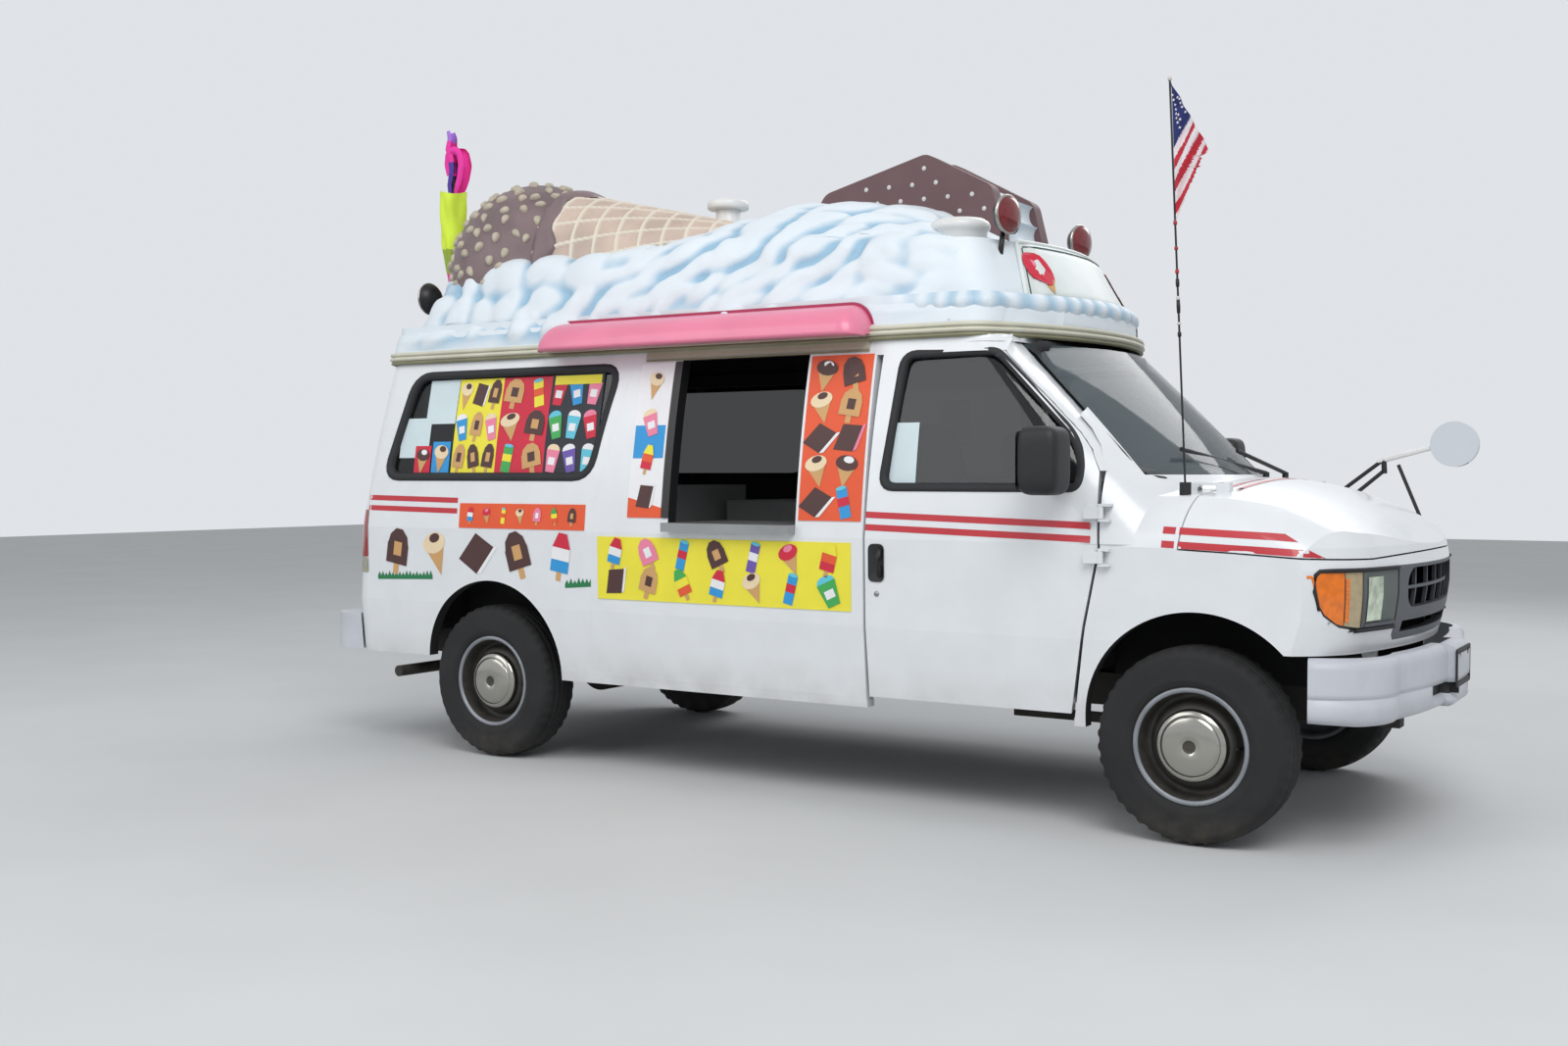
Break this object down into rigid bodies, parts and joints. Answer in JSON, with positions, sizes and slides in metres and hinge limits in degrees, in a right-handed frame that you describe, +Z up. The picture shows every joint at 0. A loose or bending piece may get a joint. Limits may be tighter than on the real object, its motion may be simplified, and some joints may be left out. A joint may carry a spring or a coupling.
{
  "type": "ice cream truck",
  "caption": "Full-size serving van with a moulded ice cream roof, hatch with counter, hinged cab doors, rear doors and hood, steered front wheels and free-turning wheels.",
  "frame": {"origin": "on the ground under the middle of the overall length and width", "axes": "+X to the front, +Y to the vehicle's left, +Z up"},
  "size_m": [5.395, 2.5, 3.245],
  "materials": {
    "body_paint": "gloss white paint",
    "bumper_paint": "gloss white paint, lightly scuffed",
    "roof_white": "gel-coated glass fibre, satin",
    "cream": "gel-coated glass fibre, airbrushed pale blue",
    "chocolate": "painted glass fibre, satin",
    "waffle": "painted glass fibre, satin",
    "wafer_brown": "painted glass fibre, satin",
    "ice_filling": "painted glass fibre, satin",
    "awning_pink": "moulded pink plastic",
    "glass": "tinted",
    "tyre": "worn all-terrain rubber",
    "rim_steel": "argent steel wheel",
    "knuckle_steel": "forged, dusty",
    "axle_black": "black paint, dusty",
    "underbody_black": "black underseal, dusty",
    "engine_iron": "cast iron",
    "floor_paint": "grey painted steel",
    "freezer_white": "white enamel",
    "counter_steel": "brushed",
    "menu_sheet": "printed plastic sheet",
    "sign_white": "white plastic sign, bare",
    "vent_white": "weathered white plastic",
    "lamp_plastic": "amber, clear and red lens plastic",
    "lamp_housing": "black housing",
    "grille_grey": "dark grey moulded plastic",
    "mirror_black": "black moulded plastic",
    "mirror_arm_white": "white painted tube",
    "mast_metal": "black coated rod",
    "cab_plastic": "grained grey plastic",
    "seat_cloth": "grey cloth",
    "flag_cloth": "striped nylon",
    "windsock_cloth": "ripstop nylon in bright bands"
  },
  "bodies": {
    "root": {"awning": "awning_pink", "chassis": "underbody_black", "cone": "waffle", "counter": "counter_steel", "cream_relief": "cream", "dashboard": "cab_plastic", "engine": "engine_iron", "exhaust": "underbody_black", "fenders": "body_paint", "filling": "ice_filling", "flag": "flag_cloth", "floor_pan": "floor_paint", "freezer": "freezer_white", "front_axle": "axle_black", "front_bumper": "bumper_paint", "glass": "glass", "grille": "grille_grey", "hatch_panel": "body_paint", "lamps": "lamp_plastic", "masts": "mast_metal", "menu_boards": "menu_sheet", "rear_axle": "axle_black", "rear_bumper": "bumper_paint", "rear_frame": "body_paint", "roof_cap": "roof_white", "roof_vents": "vent_white", "scoop": "chocolate", "seats": "seat_cloth", "side_left": "body_paint", "side_right": "body_paint", "sign_board": "sign_white", "steering_wheel": "cab_plastic", "wafers": "wafer_brown", "warning_lamps": "lamp_housing", "windshield_frame": "body_paint", "windsock": "windsock_cloth", "wipers": "mirror_black"},
    "hood": {"hood": "body_paint", "crossover_mirror": "mirror_arm_white"},
    "front_door_right": {"front_door_right": "body_paint", "door_glass_right": "glass", "door_mirror_right": "mirror_black"},
    "front_door_left": {"front_door_left": "body_paint", "door_glass_left": "glass", "door_mirror_left": "mirror_black"},
    "rear_door_right": {"rear_door_right": "body_paint", "rear_glass_right": "glass"},
    "rear_door_left": {"rear_door_left": "body_paint", "rear_glass_left": "glass"},
    "knuckle_right": {"knuckle_right": "knuckle_steel"},
    "knuckle_left": {"knuckle_left": "knuckle_steel"},
    "wheel_front_right": {"tyre_front_right": "tyre", "rim_front_right": "rim_steel"},
    "wheel_front_left": {"tyre_front_left": "tyre", "rim_front_left": "rim_steel"},
    "wheel_rear_right": {"tyre_rear_right": "tyre", "rim_rear_right": "rim_steel"},
    "wheel_rear_left": {"tyre_rear_left": "tyre", "rim_rear_left": "rim_steel"}
  },
  "joints": [
    {"name": "steer_right", "type": "hinge", "parent": "root", "child": "knuckle_right", "pos_m": [1.9075, -0.79, 0.372], "axis": [0, 0, 1], "range_deg": [-32, 32]},
    {"name": "steer_left", "type": "hinge", "parent": "root", "child": "knuckle_left", "pos_m": [1.9075, 0.79, 0.372], "axis": [0, 0, 1], "range_deg": [-32, 32]},
    {"name": "spin_front_right", "type": "hinge", "parent": "knuckle_right", "child": "wheel_front_right", "pos_m": [1.9075, -0.8815, 0.372], "axis": [0, 1, 0], "continuous": true},
    {"name": "spin_front_left", "type": "hinge", "parent": "knuckle_left", "child": "wheel_front_left", "pos_m": [1.9075, 0.8815, 0.372], "axis": [0, 1, 0], "continuous": true},
    {"name": "spin_rear_right", "type": "hinge", "parent": "root", "child": "wheel_rear_right", "pos_m": [-1.5975, -0.851, 0.372], "axis": [0, 1, 0], "continuous": true},
    {"name": "spin_rear_left", "type": "hinge", "parent": "root", "child": "wheel_rear_left", "pos_m": [-1.5975, 0.851, 0.372], "axis": [0, 1, 0], "continuous": true},
    {"name": "front_door_right_hinge", "type": "hinge", "parent": "root", "child": "front_door_right", "pos_m": [1.5675, -1.022, 1.03], "axis": [0, 0, 1], "range_deg": [0, 68]},
    {"name": "front_door_left_hinge", "type": "hinge", "parent": "root", "child": "front_door_left", "pos_m": [1.5675, 1.022, 1.03], "axis": [0, 0, -1], "range_deg": [0, 68]},
    {"name": "rear_door_right_hinge", "type": "hinge", "parent": "root", "child": "rear_door_right", "pos_m": [-2.5445, -0.77, 0.75], "axis": [0.1068, 0, 0.9943], "range_deg": [0, 175]},
    {"name": "rear_door_left_hinge", "type": "hinge", "parent": "root", "child": "rear_door_left", "pos_m": [-2.5445, 0.77, 0.75], "axis": [-0.1068, 0, -0.9943], "range_deg": [0, 175]},
    {"name": "hood_hinge", "type": "hinge", "parent": "root", "child": "hood", "pos_m": [1.8475, 0, 1.345], "axis": [0, -1, 0], "range_deg": [0, 55]}
  ],
  "couplings": [
    {"joint": "steer_left", "follows": "steer_right", "ratio": 1}
  ]
}
